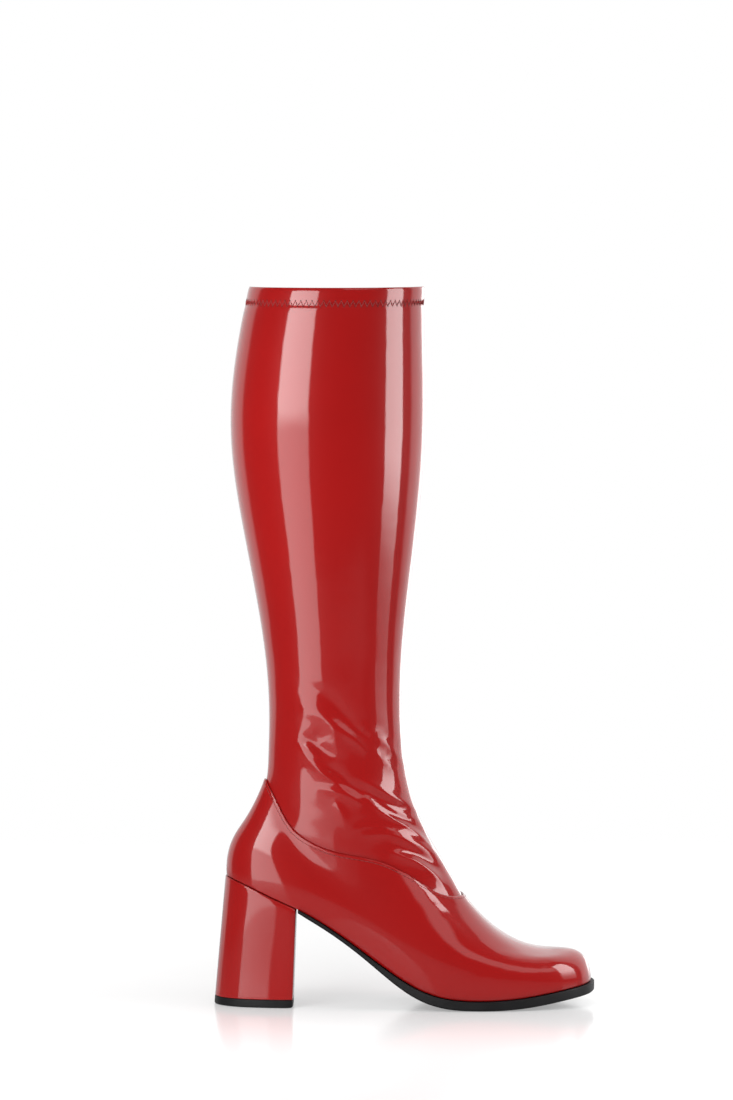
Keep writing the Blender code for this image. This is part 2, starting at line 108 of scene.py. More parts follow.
SIDE_BLEND = 0.012  # metres either side of the middle over which one side's folds pass into the other's
FOLDS_TOP = 0.215  # metres up, above which the leg is smooth
LEG_MIDDLE = 0.048  # metres ahead of the origin to the leg's middle line above the ankle
INSTEP_MIDDLE = 0.085  # and at the instep
ANKLE_HEIGHT = 0.165  # metres up, below which the middle line runs forward
MIDDLE_LEAN = 0.55  # metres that it runs forward for each metre down
TIP_HEIGHT = 0.135  # metres up, below which the way out of the instep tips up
TIP_LEAN = 0.25  # how strongly it tips
SEAM_FADE = 0.004  # metres above the upper's top edge over which the folds begin
LINE_STEPS = 24  # steps between two of the places that a fold's line is drawn through
LINE_POINTS = 240  # even points on a whole line
FOLD_REACH = 4  # half widths from its line past which a fold is flat
FOLD_START = 0.07  # share of its rise and fall that a fold leaves out at each end
FOLD_TAPER = 0.8  # how slowly a fold rises along its line
FOLD_FALL = 1.25  # how steeply a fold falls beside its line
STEEP_SIDE = 0.8  # width of a fold on its trough's side, as a share of its half width
LONG_SIDE = 1.15  # and on the other side
TROUGH_AWAY = 1.9  # half widths from the line to the middle of the trough
TROUGH_WIDTH = 1.1  # half widths of the trough
LEVEL_SHARE = 0.35  # how far a fold moves level out of the leg, where the rest is square to the wall
FOLD_DETAIL = (0.00015, 0.00045)  # heights of the folds from which faces are halved once, and once more
OUTER_SIDE = -0.006  # metres across, past which the faces on the outer side are halved
HEEL_BACK = -0.02  # metres ahead of the origin, behind which nothing folds

MERGE_DISTANCE = 0.00001  # metres between corners of the solids that are one
LEG_SHARP = math.radians(50)  # turn of an edge of the leg that stays crisp
UPPER_SHARP = math.radians(48)  # and of the upper
HEM_DEPTH = 0.0105  # metres from the rim down to the knitted backing
HEEL_FOOT_EDGE = 0.0006  # metres, the roundness of the heel cover's other edges

HEM_STITCH_LENGTH = 1.04  # length of a hem stitch as a share of the way between its two holes
HEM_STITCH_LIFT = 0.05  # how far it stands off the hem as a share of the thread
EDGE_STITCH_LENGTH = 0.86
HEM_HOLE = 0.0008  # metres across a needle hole
EDGE_HOLE = 0.0006
HOLE_FLATNESS = 0.22  # depth of a needle hole as a share of its width
RIM_RAYS = 720  # places round the rim at which its outer face is found
RIM_REACH = 0.12  # metres from the leg's middle, well outside its wall
RIM_MIDDLE_BACK = 0.005  # metres that the rim's middle lies behind that of the whole leg

# The far walls of the studio. Azimuth is degrees from the camera's side towards the toe, elevation is
# degrees up from the boot, and the edge is the softness of a panel's border in degrees.
# name, azimuth from, to, elevation from, to, edge, radiance
STUDIO_PANELS = (
    ("right wall", 114, 180, -12, 62, 8, 1.2),
    ("left wall", -180, -118, -20, 50, 8, 1.0),
    ("back strip", 150, 166, -14, 5, 3, 2.5),
    ("ceiling", -180, 180, 64, 90, 6, 1.2),
    ("fill card", 10, 60, 24, 42, 6, 1.6),
)

# The softboxes, which stand upright close to the boot and face its leg. Distances are metres, azimuth is in
# degrees as above, and the light changes smoothly from its low radiance to its high one between two heights.
# name, azimuth, distance, width, bottom, top, change from, to, low radiance, high radiance, rise to its left
SOFTBOXES = (
    ("left_softbox", -40.5, 0.45, 0.32, -0.06, 0.62, 0.30, 0.36, 3.5, 7.8, 0.35),
    ("right_softbox", 82, 0.65, 0.33, 0.03, 0.66, 0.06, 0.26, 1.0, 7.4, 0.0),
)
BOXES_MIDDLE = (0.05, -0.03)  # metres ahead and across, round which they stand
BOX_SIDE_FADE = 0.07  # share of its width over which a softbox fades at either side
BOX_END_FADE = 0.04  # share of its height over which it fades at either end
STUDIO_AMBIENT = 0.10

# The floor glows a little, so that it looks white, and more so towards the camera and the back.
FLOOR_MIDDLE = (0.06, 0.06, -0.0002)
FLOOR_SIZE = (1.36, 1.68)
FLOOR_TONE = 0.6
FLOOR_GLOW = 0.34
# metres across where it begins to glow more, where it no longer does, growth
FLOOR_BRIGHTER = ((-0.02, -0.24, 0.24), (0.06, 0.40, 0.14))
# axis, metres where it is clear, metres where it is whole
FLOOR_FADES = (("X", -0.62, -0.42), ("X", 0.74, 0.54), ("Y", -0.78, -0.58), ("Y", 0.90, 0.60))
BOUNCE_TONE = 0.3  # the floor as the boot mirrors it
BOUNCE_GLOW = 0.05
SOFT_BOUNCE_GLOW = 0.9  # what more of it lights the boot softly

CAMERA_PLACE = (0.06795, -3.6, 0.5002)
CAMERA_AIM = (0.06795, 0, 0.2737)
CAMERA_LENS = 196.4  # millimetres, for a frame 36 mm high


class BootSizes(bpy.types.PropertyGroup):
    fold_strength: bpy.props.FloatProperty(
        name="Fold strength",
        description="How strongly the leg folds over the ankle",
        default=1.0,
        min=0.0,
        max=2.0,
        subtype="FACTOR",
    )
    thread: bpy.props.FloatProperty(
        name="Thread",
        description="Thickness of the sewing thread",
        default=0.0004,
        unit="LENGTH",
    )
    hem_stitch_pitch: bpy.props.FloatProperty(
        name="Hem stitch pitch",
        description="Length of one zigzag of the hem's stitches",
        default=0.0035,
        unit="LENGTH",
    )
    hem_stitch_height: bpy.props.FloatProperty(
        name="Hem stitch height",
        description="Height of the hem's zigzag",
        default=0.0035,
        unit="LENGTH",
    )
    hem_stitch_drop: bpy.props.FloatProperty(
        name="Hem stitch drop",
        description="From the rim down to the middle of the zigzag",
        default=0.0095,
        unit="LENGTH",
    )
    edge_stitch_pitch: bpy.props.FloatProperty(
        name="Edge stitch pitch",
        description="From stitch to stitch along the upper's top edge",
        default=0.0030,
        unit="LENGTH",
    )
    edge_stitch_drop: bpy.props.FloatProperty(
        name="Edge stitch drop",
        description="From the upper's top edge down to its stitches",
        default=0.0018,
        unit="LENGTH",
    )
    heel_edge: bpy.props.FloatProperty(
        name="Heel edge",
        description="Roundness of the heel cover's turned top edge",
        default=0.0013,
        unit="LENGTH",
    )


class BootColours(bpy.types.PropertyGroup):
    patent: bpy.props.FloatVectorProperty(
        name="Patent",
        description="Colour of the patent",
        default=(0.325, 0.0049, 0.0046),
        subtype="COLOR",
        size=3,
    )
    thread: bpy.props.FloatVectorProperty(
        name="Thread",
        description="Colour of the sewing thread",
        default=(0.30, 0.012, 0.012),
        subtype="COLOR",
        size=3,
    )
    lining: bpy.props.FloatVectorProperty(
        name="Lining",
        description="Colour of the leg's knitted backing",
        default=(0.36, 0.06, 0.055),
        subtype="COLOR",
        size=3,
    )
    sock: bpy.props.FloatVectorProperty(
        name="Sock",
        description="Colour of the insole's cover",
        default=(0.46, 0.33, 0.22),
        subtype="COLOR",
        size=3,
    )
    sole: bpy.props.FloatVectorProperty(
        name="Sole",
        description="Colour of the outsole and top piece",
        default=(0.006, 0.006, 0.0065),
        subtype="COLOR",
        size=3,
    )


# Helpers that the pieces share


def select_only(*objs):
    bpy.ops.object.select_all(action="DESELECT")
    for obj in objs:
        obj.select_set(True)
    bpy.context.view_layer.objects.active = objs[0]


def copy_of(node, name):
    """A copy of a CAD node with its triangles merged back into quads."""
    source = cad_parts[node]
    obj = bpy.data.objects.new(name, source.data.copy())
    bpy.context.scene.collection.objects.link(obj)
    obj.data.materials.clear()
    select_only(obj)
    bpy.ops.object.mode_set(mode="EDIT")
    bpy.ops.mesh.select_all(action="SELECT")
    bpy.ops.mesh.remove_doubles(threshold=MERGE_DISTANCE)
    bpy.ops.mesh.customdata_custom_splitnormals_clear()
    bpy.ops.mesh.tris_convert_to_quads(face_threshold=math.radians(60), shape_threshold=math.radians(70))
    bpy.ops.object.mode_set(mode="OBJECT")
    bpy.ops.object.shade_smooth()
    return obj


def apply_modifier(obj, kind, **values):
    select_only(obj)
    bpy.ops.object.modifier_add(type=kind)
    modifier = obj.modifiers[-1]
    for key, value in values.items():
        setattr(modifier, key, value)
    bpy.ops.object.modifier_apply(modifier=modifier.name)


def mesh_of(obj):
    mesh = bmesh.new()
    mesh.from_mesh(obj.data)
    return mesh


def select_marked(obj, kind, items, marks):
    """Enters edit mode with only the marked edges or faces selected."""
    select_only(obj)
    bpy.ops.object.mode_set(mode="EDIT")
    bpy.ops.mesh.select_mode(type=kind)
    bpy.ops.mesh.select_all(action="DESELECT")
    bpy.ops.object.mode_set(mode="OBJECT")
    items.foreach_set("select", marks)
    bpy.ops.object.mode_set(mode="EDIT")


def crease_sharp_edges(obj, angle, amount):
    """Holds edges that turn by more than an angle when the mesh is subdivided."""
    mesh = mesh_of(obj)
    layer = mesh.edges.layers.float.get("crease_edge") or mesh.edges.layers.float.new("crease_edge")
    for edge in mesh.edges:
        if len(edge.link_faces) == 2 and edge.calc_face_angle() > angle:
            edge[layer] = amount
    mesh.to_mesh(obj.data)
    mesh.free()


def subdivide_smoothly(obj, levels):
    apply_modifier(obj, "SUBSURF", levels=levels, render_levels=levels, boundary_smooth="ALL")
    if obj.data.attributes.get("crease_edge"):
        obj.data.attributes.remove(obj.data.attributes["crease_edge"])


def read_vectors(items, name):
    values = np.empty(len(items) * 3)
    items.foreach_get(name, values)
    return values.reshape(-1, 3)


def smooth_step(x, low, high):
    t = np.clip((x - low) / (high - low), 0, 1)
    return t * t * (3 - 2 * t)


def smooth_line(places, count):
    """An even, smooth line through a few given points."""
    points = np.array(places, float)
    padded = np.vstack([2 * points[0] - points[1], points, 2 * points[-1] - points[-2]])
    line = []
    for i in range(1, len(padded) - 2):
        a, b, c, d = padded[i - 1 : i + 3]
        for t in np.linspace(0, 1, LINE_STEPS, endpoint=False):
            bend = (2 * a - 5 * b + 4 * c - d) * t**2
            turn = (3 * b - a - 3 * c + d) * t**3
            line.append(0.5 * (2 * b + (c - a) * t + bend + turn))
    line = np.array(line + [points[-1]])
    along = np.concatenate([[0], np.cumsum(np.linalg.norm(np.diff(line, axis=0), axis=1))])
    at = np.linspace(0, along[-1], count)
    return np.column_stack([np.interp(at, along, line[:, k]) for k in range(line.shape[1])])


# Finishes


def new_material(name):
    material = bpy.data.materials.new(name)
    material.use_nodes = True
    tree = material.node_tree
    tree.nodes.clear()
    output = tree.nodes.new("ShaderNodeOutputMaterial")
    shader = tree.nodes.new("ShaderNodeBsdfPrincipled")
    tree.links.new(shader.outputs["BSDF"], output.inputs["Surface"])
    coordinates = tree.nodes.new("ShaderNodeTexCoord")
    return material, tree, shader, coordinates.outputs["Object"]


def noise(tree, place, scale, detail=3.0, stretch=None):
    if stretch:
        mapping = tree.nodes.new("ShaderNodeMapping")
        mapping.inputs["Scale"].default_value = stretch
        tree.links.new(place, mapping.inputs["Vector"])
        place = mapping.outputs["Vector"]
    node = tree.nodes.new("ShaderNodeTexNoise")
    node.inputs["Scale"].default_value = scale
    node.inputs["Detail"].default_value = detail
    node.inputs["Roughness"].default_value = 0.5
    tree.links.new(place, node.inputs["Vector"])
    return node.outputs["Fac"]


def bump(tree, height, distance, under=None):
    node = tree.nodes.new("ShaderNodeBump")
    node.inputs["Distance"].default_value = distance
    node.inputs["Strength"].default_value = 1.0
    tree.links.new(height, node.inputs["Height"])
    if under:
        tree.links.new(under, node.inputs["Normal"])
    return node.outputs["Normal"]


def spread(tree, value, low, high):
    node = tree.nodes.new("ShaderNodeMapRange")
    node.inputs["To Min"].default_value = low
    node.inputs["To Max"].default_value = high
    tree.links.new(value, node.inputs["Value"])
    return node.outputs["Result"]


def shades(tree, value, dark, light):
    """A colour that goes from dark to light with a pattern."""
    node = tree.nodes.new("ShaderNodeValToRGB")
    node.color_ramp.elements[0].position = 0.3
    node.color_ramp.elements[1].position = 0.7
    node.color_ramp.elements[0].color = (*dark, 1)
    node.color_ramp.elements[1].color = (*light, 1)
    tree.links.new(value, node.inputs["Fac"])
    return node.outputs["Color"]


def patent_finish(name, colour, waviness):
    """Patent: a deep colour under a clear coat that is very slightly wavy."""
    material, tree, shader, place = new_material(name)
    dark = tuple(0.94 * c for c in colour)
    tree.links.new(shades(tree, noise(tree, place, 18.0), dark, tuple(colour)), shader.inputs["Base Color"])
    tree.links.new(spread(tree, noise(tree, place, 90.0), 0.34, 0.42), shader.inputs["Roughness"])
    shader.inputs["IOR"].default_value = 1.45
    shader.inputs["Specular IOR Level"].default_value = 0.1
    shader.inputs["Coat Weight"].default_value = 1.0
    shader.inputs["Coat Roughness"].default_value = 0.05
    shader.inputs["Coat IOR"].default_value = 1.5
    wave = bump(tree, noise(tree, place, 55.0, 1.0), waviness)
    grain = bump(tree, noise(tree, place, 1400.0, 2.0), 0.000008, under=wave)
    tree.links.new(grain, shader.inputs["Normal"])
    tree.links.new(grain, shader.inputs["Coat Normal"])
    return material


def knit_finish(name, colour):
    """The leg's backing: a fine brushed knit, with a random tone that is darker exactly where its bump
    sinks, which is painted shade in the knit's hollows.
    """
    material, tree, shader, place = new_material(name)
    fine = noise(tree, place, 900.0, 2.0, stretch=(1, 1, 0.35))
    dark = tuple(0.75 * c for c in colour)
    tree.links.new(shades(tree, fine, dark, tuple(colour)), shader.inputs["Base Color"])
    shader.inputs["Roughness"].default_value = 0.92
    shader.inputs["Sheen Weight"].default_value = 0.3
    shader.inputs["Sheen Roughness"].default_value = 0.5
    tree.links.new(bump(tree, fine, 0.00025), shader.inputs["Normal"])
    return material


def sock_finish(name, colour):
    material, tree, shader, place = new_material(name)
    tone = noise(tree, place, 40.0)
    dark = tuple(0.85 * c for c in colour)
    tree.links.new(shades(tree, tone, dark, tuple(colour)), shader.inputs["Base Color"])
    shader.inputs["Roughness"].default_value = 0.6
    pores = noise(tree, place, 1100.0, 3.0)
    tree.links.new(bump(tree, pores, 0.0001), shader.inputs["Normal"])
    return material


def rubber_finish(name, colour):
    material, tree, shader, place = new_material(name)
    tone = noise(tree, place, 60.0)
    light = tuple(1.8 * c for c in colour)
    tree.links.new(shades(tree, tone, tuple(colour), light), shader.inputs["Base Color"])
    tree.links.new(spread(tree, noise(tree, place, 300.0), 0.42, 0.58), shader.inputs["Roughness"])
    shader.inputs["Specular IOR Level"].default_value = 0.3
    tree.links.new(bump(tree, noise(tree, place, 900.0, 3.0), 0.00006), shader.inputs["Normal"])
    return material


def thread_finish(name, colour):
    material, tree, shader, place = new_material(name)
    # The same noise darkens the thread where its bump sinks, which paints shade into the hollows of the
    # twist.
    twist = noise(tree, place, 2600.0, 1.0)
    dark = tuple(0.6 * c for c in colour)
    tree.links.new(shades(tree, twist, dark, tuple(colour)), shader.inputs["Base Color"])
    shader.inputs["Roughness"].default_value = 0.5
    shader.inputs["Sheen Weight"].default_value = 0.2
    tree.links.new(bump(tree, twist, 0.0001), shader.inputs["Normal"])
    return material


# Painted shade: the needle holes get a near-black red, with a tone that differs at random, that paints the
# shade inside a hole onto small flattened dots.
def hole_painted_shade(name):
    material, tree, shader, place = new_material(name)
    tone = shades(tree, noise(tree, place, 500.0), (0.05, 0.003, 0.003), (0.09, 0.004, 0.004))
    tree.links.new(tone, shader.inputs["Base Color"])
    shader.inputs["Roughness"].default_value = 0.8
    return material


# The leg


def outward(places):
    """The level direction out of the leg, tipped up over the instep, and the middle that it leaves."""
    x, y, z = places.T
    middle = np.clip(LEG_MIDDLE + MIDDLE_LEAN * (ANKLE_HEIGHT - z), LEG_MIDDLE, INSTEP_MIDDLE)
    out = np.column_stack([x - middle, y, TIP_LEAN * np.clip(TIP_HEIGHT - z, 0, 1) * (x > middle)])
    return out / np.linalg.norm(out, axis=1, keepdims=True)


def fold_offsets(line, x, z):
    """Distance across a line, share of the way along it, and distance past its ends."""
    direction = np.gradient(line, axis=0)
    direction /= np.linalg.norm(direction, axis=1, keepdims=True)
    gap = np.stack([x, z], axis=1)[:, None, :] - line[None, :, :]
    nearest = np.argmin((gap**2).sum(axis=2), axis=1)
    offset = gap[np.arange(len(x)), nearest]
    way = direction[nearest]
    across = offset[:, 0] * way[:, 1] - offset[:, 1] * way[:, 0]
    ahead = offset[:, 0] * way[:, 0] + offset[:, 1] * way[:, 1]
    step = np.linalg.norm(line[1] - line[0])
    along = nearest + ahead / step
    past = step * np.maximum(np.maximum(-along, along - (len(line) - 1)), 0)
    return across, np.clip(along / (len(line) - 1), 0, 1), past


def fold_lift(x, z):
    """How far the ankle's folds stand out at places seen from the side."""
    lift = np.zeros(len(x))
    for _, height, start_width, end_width, crest, trough, places in ANKLE_FOLDS:
        line = smooth_line(places, LINE_POINTS)
        reach = FOLD_REACH * max(start_width, end_width)
        low, high = line.min(axis=0) - reach, line.max(axis=0) + reach
        near = (x > low[0]) & (x < high[0]) & (z > low[1]) & (z < high[1])
        if not near.any():
            continue
        across, along, past = fold_offsets(line, x[near], z[near])
        width = start_width + (end_width - start_width) * along
        rise = np.sin(np.pi * (along * (1 - 2 * FOLD_START) + FOLD_START)) ** FOLD_TAPER
        taper = rise * np.exp(-((past / width) ** 2))
        steep = np.sign(trough) if trough else 0
        side = np.where(across * steep < 0, STEEP_SIDE, LONG_SIDE) if steep else 1.0
        away = across / (width * side)
        ridge = np.exp(-FOLD_FALL * (np.sqrt(away**2 + crest**2) - crest))
        beyond = (across * (steep or 1) + TROUGH_AWAY * width) / (TROUGH_WIDTH * width)
        hollow = abs(trough) * np.exp(-(beyond**2))
        lift[near] += height * taper * (ridge - hollow)
    return lift


def fold_leg(obj, edge_line, strength):
    """Moves the leg's wall in and out along its ankle folds, both faces together."""
    places = read_vectors(obj.data.vertices, "co")
    normals = read_vectors(obj.data.vertices, "normal")
    low = (places[:, 2] < FOLDS_TOP) & (places[:, 0] > HEEL_BACK)
    part = places[low]
    x, y, z = part.T
    outer = fold_lift(x, z)
    inner = INNER_SIDE_SHARE * fold_lift(x + INNER_SIDE_SHIFT[0], z + INNER_SIDE_SHIFT[1])
    side = smooth_step(y, -SIDE_BLEND, SIDE_BLEND)
    lift = strength * (outer * (1 - side) + inner * side)
    lift *= smooth_step(z - edge_height(edge_line, x, y), 0, SEAM_FADE)
    out = outward(part)
    facing = np.sign((normals[low] * out).sum(axis=1, keepdims=True))
    way = out * LEVEL_SHARE + normals[low] * facing * (1 - LEVEL_SHARE)
    way /= np.linalg.norm(way, axis=1, keepdims=True)
    places[low] = part + way * lift[:, None]
    obj.data.vertices.foreach_set("co", places.ravel())
    obj.data.update()


def sharp_loops(node, angle):
    """The closed loops of edges of a CAD node that turn by more than an angle, as rings of points."""
    mesh = bmesh.new()
    mesh.from_mesh(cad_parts[node].data)
    bmesh.ops.remove_doubles(mesh, verts=mesh.verts, dist=MERGE_DISTANCE)
    sharp = {edge for edge in mesh.edges if len(edge.link_faces) == 2 and edge.calc_face_angle() > angle}
    loops = []
    while sharp:
        edge = sharp.pop()
        first, last = edge.verts
        ring = [first, last]
        while last is not first:
            following = [other for other in last.link_edges if other in sharp]
            if not following:
                break
            sharp.discard(following[0])
            last = following[0].other_vert(last)
            ring.append(last)
        if last is first:
            loops.append(np.array([vertex.co[:] for vertex in ring[:-1]]))
    mesh.free()
    return loops


def ring_length(ring):
    return np.linalg.norm(ring - np.roll(ring, 1, axis=0), axis=1).sum()


def upper_edge():
    """The outer line of the upper's top edge."""
    loops = sorted(sharp_loops("upper", UPPER_SHARP), key=lambda ring: -ring[:, 2].mean())
    return max(loops[:2], key=ring_length)


def edge_height(line, x, y):
    """Height of the upper's top edge under places of the leg, on the same side of the boot."""
    heights = np.zeros(len(x))
    for sign in (-1, 1):
        ring = line[line[:, 1] * sign >= 0]
        ring = ring[np.argsort(ring[:, 0])]
        mine = y * sign >= 0
        heights[mine] = np.interp(x[mine], ring[:, 0], ring[:, 2])
    return heights


def refine_folds(obj, least):
    """Halves the faces of the leg's wall where the outer side's folds stand more than a height in or out."""
    centres = read_vectors(obj.data.polygons, "center")
    normals = read_vectors(obj.data.polygons, "normal")
    faces_out = (normals * outward(centres)).sum(axis=1) > 0
    near = faces_out & (centres[:, 2] < FOLDS_TOP) & (centres[:, 1] < OUTER_SIDE)
    folded = np.zeros(len(centres), bool)
    folded[near] = np.abs(fold_lift(centres[near, 0], centres[near, 2])) > least
    select_marked(obj, "FACE", obj.data.polygons, folded)
    bpy.ops.mesh.subdivide(number_cuts=1)
    bpy.ops.object.mode_set(mode="OBJECT")


class BOOT_OT_leg(bpy.types.Operator):
    """Makes the stretch patent leg with its folds over the ankle and its knitted backing"""

    bl_idname = "boot.leg"
    bl_label = "Make the leg"

    def execute(self, context):
        colours = context.scene.boot_colours
        leg = copy_of("shaft", "shaft_patent")
        crease_sharp_edges(leg, LEG_SHARP, 0.6)
        subdivide_smoothly(leg, 2)
        for least in FOLD_DETAIL:
            refine_folds(leg, least)
        fold_leg(leg, upper_edge(), context.scene.boot_sizes.fold_strength)
        leg.data.materials.append(patent_finish("stretch_patent", colours.patent, 0.00014))
        leg.data.materials.append(knit_finish("knit_backing", colours.lining))
        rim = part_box("shaft")[1][2]
        centres = read_vectors(leg.data.polygons, "center")
        normals = read_vectors(leg.data.polygons, "normal")
        level = outward(centres)[:, :2]
        inward = (normals[:, :2] * level).sum(axis=1) < 0
        backing = (inward & (centres[:, 2] < rim - HEM_DEPTH)).astype(np.int32)
        leg.data.polygons.foreach_set("material_index", backing)
        leg.data.update()
        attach(leg, "root")
        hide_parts("shaft")
        return {"FINISHED"}


# The upper


class BOOT_OT_upper(bpy.types.Operator):
    """Makes the lasted vamp and counter"""

    bl_idname = "boot.upper"
    bl_label = "Make the upper"

    def execute(self, context):
        upper = copy_of("upper", "upper_patent")
        crease_sharp_edges(upper, UPPER_SHARP, 0.75)
        subdivide_smoothly(upper, 2)
        finish = patent_finish("upper_patent", context.scene.boot_colours.patent, 0.00012)
        upper.data.materials.append(finish)
        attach(upper, "root")
        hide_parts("upper")
        return {"FINISHED"}


# Heel, soles and insole


def bevel_edges(obj, width, least_turn):
    """Rounds the edges that turn by more than an angle in degrees."""
    angle = math.radians(least_turn)
    apply_modifier(obj, "BEVEL", width=width, segments=2, limit_method="ANGLE", angle_limit=angle)


def round_top_edge(obj, width):
    """Rolls the edge between a block's sides and its top."""
    mesh = mesh_of(obj)
    marks = np.zeros(len(mesh.edges), bool)
    for edge in mesh.edges:
        if len(edge.link_faces) == 2:
            rises = sorted(face.normal.z for face in edge.link_faces)
            marks[edge.index] = rises[0] < 0.5 and rises[1] > 0.6
    mesh.free()
    select_marked(obj, "EDGE", obj.data.edges, marks)
    bpy.ops.mesh.bevel(offset=width, segments=3, affect="EDGES")
    bpy.ops.object.mode_set(mode="OBJECT")


class BOOT_OT_heel(bpy.types.Operator):
    """Covers the block heel, with a rolled edge at its seat"""

    bl_idname = "boot.heel"
    bl_label = "Cover the heel"

    def execute(self, context):
        heel = copy_of("heel", "heel_cover")
        round_top_edge(heel, context.scene.boot_sizes.heel_edge)
        bevel_edges(heel, HEEL_FOOT_EDGE, 40)
        subdivide_smoothly(heel, 1)
        finish = patent_finish("heel_patent", context.scene.boot_colours.patent, 0.00005)
        heel.data.materials.append(finish)
        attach(heel, "root")
        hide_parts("heel")
        return {"FINISHED"}


class BOOT_OT_soles(bpy.types.Operator):
    """Makes the outsole, the heel's top piece and the insole"""

    bl_idname = "boot.soles"
    bl_label = "Make the soles"

    def execute(self, context):
        colours = context.scene.boot_colours
        rubber = rubber_finish("black_rubber", colours.sole)
        sock = sock_finish("sock_cover", colours.sock)
        # node, name, slot, finish, bevel, least angle, levels
        for node, name, slot, finish, width, angle, levels in (
            ("outsole", "outsole_rubber", "sole", rubber, 0.0005, 30, 2),
            ("top_piece", "top_piece_rubber", "top_piece", rubber, 0.0003, 30, 2),
            ("insole", "insole_sock", "insole", sock, 0.0004, 40, 1),
        ):
            piece = copy_of(node, name)
            bevel_edges(piece, width, angle)
            subdivide_smoothly(piece, levels)
            piece.data.materials.append(finish)
            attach(piece, "root")
            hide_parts(node)
        return {"FINISHED"}


# Stitches


def surface_tree(name):
    return BVHTree.FromObject(bpy.data.objects[name], bpy.context.evaluated_depsgraph_get())


def even_ring(points, pitch):
    """A closed line cut into a whole number of even steps of about a pitch."""
    closed = np.vstack([points, points[:1]])
    along = np.concatenate([[0], np.cumsum(np.linalg.norm(np.diff(closed, axis=0), axis=1))])
    count = int(round(along[-1] / pitch))
    at = np.arange(count) / count * along[-1]
    return np.column_stack([np.interp(at, along, closed[:, k]) for k in range(3)])


def stitch(name, length, thickness):
    """One stitch: a short rounded length of thread lying along X."""
    bpy.ops.object.select_all(action="DESELECT")
    bpy.ops.mesh.primitive_uv_sphere_add(segments=8, ring_count=6, radius=0.5)
    made = bpy.context.active_object
    made.name = name
    made.rotation_euler.y = math.pi / 2
    made.scale = (thickness, thickness, length)
    bpy.ops.object.transform_apply(location=False, rotation=True, scale=True)
    bpy.ops.object.shade_smooth()
    return made


def copies(source, name, frames):
    """One piece made of a copy of the source at each frame; the source itself is removed."""
    made = []
    for place in frames:
        mesh = source.data.copy()
        mesh.transform(place)
        obj = bpy.data.objects.new(name, mesh)
        bpy.context.scene.collection.objects.link(obj)
        made.append(obj)
    bpy.data.objects.remove(source, do_unlink=True)
    select_only(*made)
    bpy.ops.object.join()
    joined = bpy.context.active_object
    joined.name = name
    return joined


def lying(start, end, out, lift):
    """The frame of a stitch from start to end on a surface that faces out."""
    along = (end - start).normalized()
    up = (out - along * out.dot(along)).normalized()
    across = up.cross(along)
    middle = (start + end) / 2 + up * lift
    turned = Matrix((along, across, up)).transposed().to_4x4()
    return Matrix.Translation(middle) @ turned


def facing(place, out):
    return Matrix.Translation(place) @ out.to_track_quat("Z", "X").to_matrix().to_4x4()


# The needle holes are flattened dots centred on the surface, whose dark colour paints the shade of a hole.
def needle_holes(name, across, frames):
    hole = stitch(name, across, across)
    hole.data.transform(Matrix.Diagonal((1, 1, HOLE_FLATNESS, 1)))
    piece = copies(hole, name, frames)
    piece.data.materials.append(hole_painted_shade("needle_hole"))
    return piece


def rim_ring(tree, height, centre):
    """Points round the leg's outer face at a height."""
    points = []
    for angle in np.linspace(0, 2 * math.pi, RIM_RAYS, endpoint=False):
        way = Vector((math.cos(angle), math.sin(angle), 0))
        hit = tree.ray_cast(centre + way * RIM_REACH + Vector((0, 0, height)), -way)[0]
        points.append(hit)
    return np.array(points)


class BOOT_OT_hem_stitches(bpy.types.Operator):
    """Sews the hem with a zigzag, thread and needle holes"""

    bl_idname = "boot.hem_stitches"
    bl_label = "Sew the hem"

    def execute(self, context):
        sizes, colours = context.scene.boot_sizes, context.scene.boot_colours
        tree = surface_tree("shaft_patent")
        low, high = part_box("shaft")
        centre = Vector(((low[0] + high[0]) / 2 - RIM_MIDDLE_BACK, 0, 0))
        middle = high[2] - sizes.hem_stitch_drop
        rings = []
        for share in (0.5, -0.5):
            points = rim_ring(tree, middle + share * sizes.hem_stitch_height, centre)
            rings.append(even_ring(points, sizes.hem_stitch_pitch / 2))
        count = min(len(rings[0]), len(rings[1])) // 2 * 2
        steps = np.linspace(0, 1, count, endpoint=False)
        ends = []
        for i in range(count):
            ring = rings[i % 2]
            place = Vector(ring[int(round(steps[i] * len(ring))) % len(ring)])
            hit, normal, _, _ = tree.find_nearest(place)
            ends.append((hit, normal))
        frames, holes = [], []
        for i in range(count):
            start, end = ends[i], ends[(i + 1) % count]
            out = (start[1] + end[1]).normalized()
            frames.append(lying(start[0], end[0], out, HEM_STITCH_LIFT * sizes.thread))
            holes.append(facing(*start))
        length = (ends[1][0] - ends[0][0]).length * HEM_STITCH_LENGTH
        thread = copies(stitch("hem_thread", length, sizes.thread), "hem_thread", frames)
        thread.data.materials.append(thread_finish("hem_thread", colours.thread))
        for piece in (thread, needle_holes("hem_holes", HEM_HOLE, holes)):
            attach(piece, "root")
        return {"FINISHED"}


